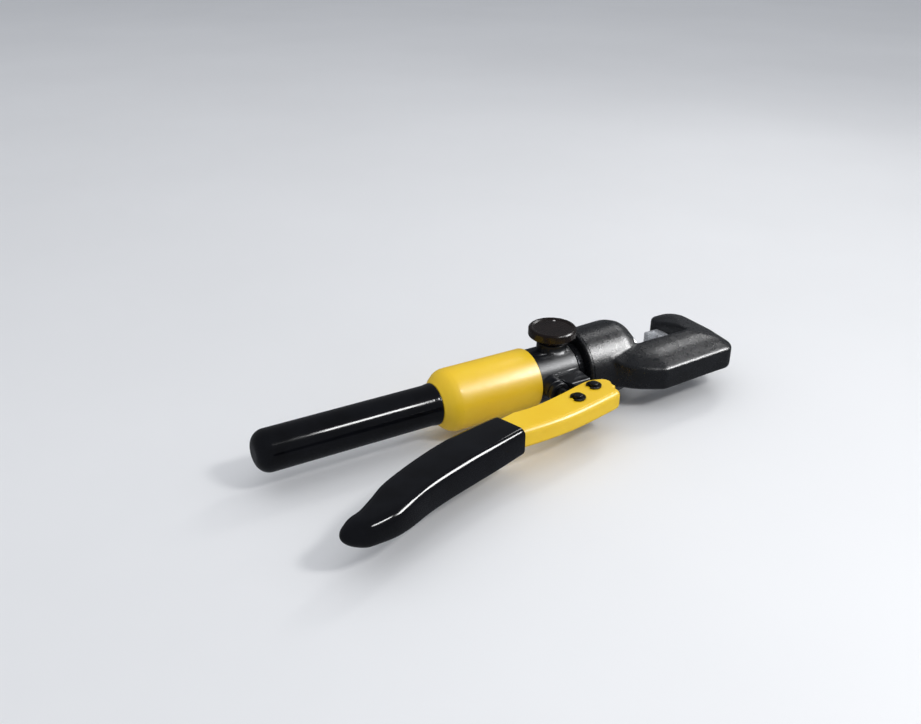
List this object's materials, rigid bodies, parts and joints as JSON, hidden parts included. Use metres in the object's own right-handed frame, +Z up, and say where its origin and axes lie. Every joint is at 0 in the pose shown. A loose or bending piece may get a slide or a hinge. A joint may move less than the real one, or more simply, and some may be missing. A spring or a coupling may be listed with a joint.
{
  "type": "hydraulic hand crimping tool",
  "caption": "Hand-held hydraulic crimping tool: two-handle piston pump, yellow oil reservoir, black release knob, and an open C-shaped head that presses a hexagon die pair on a ram.",
  "frame": {"origin": "centre of the bounding box in plan, on the plane the tool lies on", "axes": "+X along the ram axis from the handles to the nose, +Y out of the open side of the head, +Z up along the release knob's axis"},
  "size_m": [0.3274, 0.1282, 0.0572],
  "materials": {
    "head_black_cast": "satin black baked coating over fine cast grain",
    "black_oxide": "satin black oxide, faint turning marks",
    "yellow_enamel": "gloss yellow enamel",
    "black_vinyl": "gloss dipped vinyl",
    "zinc_plate": "bright zinc plate",
    "knob_black": "semi-gloss black oxide, brownish",
    "black_rubber": "matte nitrile rubber",
    "bronze_filled_tape": "satin bronze",
    "bright_steel": "ground steel, lightly oiled"
  },
  "bodies": {
    "tool_body": {"bladder_clamp": "bright_steel", "crimping_head": "head_black_cast", "fixed_handle_grip": "black_vinyl", "fulcrum_pin": "bright_steel", "fulcrum_pin_clip_bottom": "bright_steel", "fulcrum_pin_clip_top": "bright_steel", "handle_tube": "bright_steel", "head_lock_ring": "bright_steel", "head_o_ring": "black_rubber", "inlet_seat": "bright_steel", "inlet_spring": "bright_steel", "oil_bladder": "black_rubber", "outlet_plug": "bright_steel", "outlet_spring": "bright_steel", "plunger_gland_nut": "black_oxide", "plunger_seal": "black_rubber", "pump_body": "black_oxide", "ram_wiper": "black_rubber", "release_gland": "black_oxide", "release_o_ring": "black_rubber", "relief_adjuster": "bright_steel", "relief_spring": "bright_steel", "reservoir_o_ring": "black_rubber", "reservoir_sleeve": "yellow_enamel", "return_spring": "bright_steel", "spring_rear_screw": "bright_steel", "suction_strainer": "bronze_filled_tape", "upper_die_catch": "bright_steel"},
    "ram_body": {"ram": "bright_steel", "ram_seal": "black_rubber", "ram_wear_ring": "bronze_filled_tape", "spring_front_screw": "bright_steel", "lower_die_catch": "bright_steel"},
    "lower_die_body": {"lower_die": "zinc_plate"},
    "upper_die_body": {"upper_die": "zinc_plate"},
    "lever_body": {"moving_handle": "yellow_enamel", "moving_handle_grip": "black_vinyl", "plunger_pin": "bright_steel", "plunger_pin_clip_bottom": "bright_steel", "plunger_pin_clip_top": "bright_steel"},
    "plunger_body": {"pump_plunger": "bright_steel"},
    "knob_body": {"release_knob": "knob_black", "release_spindle": "bright_steel"},
    "release_ball_body": {"release_ball": "bright_steel"},
    "inlet_ball_body": {"inlet_ball": "bright_steel"},
    "outlet_ball_body": {"outlet_ball": "bright_steel"},
    "relief_ball_body": {"relief_ball": "bright_steel"}
  },
  "joints": [
    {"name": "ram_slide", "type": "slide", "parent": "tool_body", "child": "ram_body", "axis": [1, 0, 0], "range_m": [0, 0.013], "stiffness_N_per_m": 4000, "springref_m": -0.01, "deforming": ["return_spring"]},
    {"name": "lower_die_slide", "type": "slide", "parent": "ram_body", "child": "lower_die_body", "axis": [0, 1, 0], "range_m": [0, 0.018]},
    {"name": "upper_die_slide", "type": "slide", "parent": "tool_body", "child": "upper_die_body", "axis": [0, 1, 0], "range_m": [0, 0.018]},
    {"name": "lever_pivot", "type": "hinge", "parent": "tool_body", "child": "lever_body", "pos_m": [0.044, -0.0009, 0.0248], "axis": [0, 0, 1], "range_deg": [-15, 25]},
    {"name": "plunger_slide", "type": "slide", "parent": "tool_body", "child": "plunger_body", "axis": [0, 1, 0], "range_m": [-0.008, 0.005]},
    {"name": "release_knob_turn", "type": "hinge", "parent": "tool_body", "child": "knob_body", "pos_m": [0.0398, 0.0393, 0.0248], "axis": [0, 0, 1], "range_deg": [0, 270]},
    {"name": "release_ball_lift", "type": "slide", "parent": "tool_body", "child": "release_ball_body", "axis": [0, 0, 1], "range_m": [0, 0.0005]},
    {"name": "inlet_ball_lift", "type": "slide", "parent": "tool_body", "child": "inlet_ball_body", "axis": [1, 0, 0], "range_m": [0, 0.0008], "stiffness_N_per_m": 100, "springref_m": -0.002, "deforming": ["inlet_spring"]},
    {"name": "outlet_ball_lift", "type": "slide", "parent": "tool_body", "child": "outlet_ball_body", "axis": [1, 0, 0], "range_m": [0, 0.0008], "stiffness_N_per_m": 100, "springref_m": -0.002, "deforming": ["outlet_spring"]},
    {"name": "relief_ball_lift", "type": "slide", "parent": "tool_body", "child": "relief_ball_body", "axis": [0, 0, -1], "range_m": [0, 0.0008], "stiffness_N_per_m": 2000, "springref_m": -0.002, "deforming": ["relief_spring"]}
  ],
  "couplings": [
    {"joint": "plunger_slide", "follows": "lever_pivot", "m_per_rad": -0.0172},
    {"joint": "release_ball_lift", "follows": "release_knob_turn", "m_per_rad": 0.000085}
  ]
}
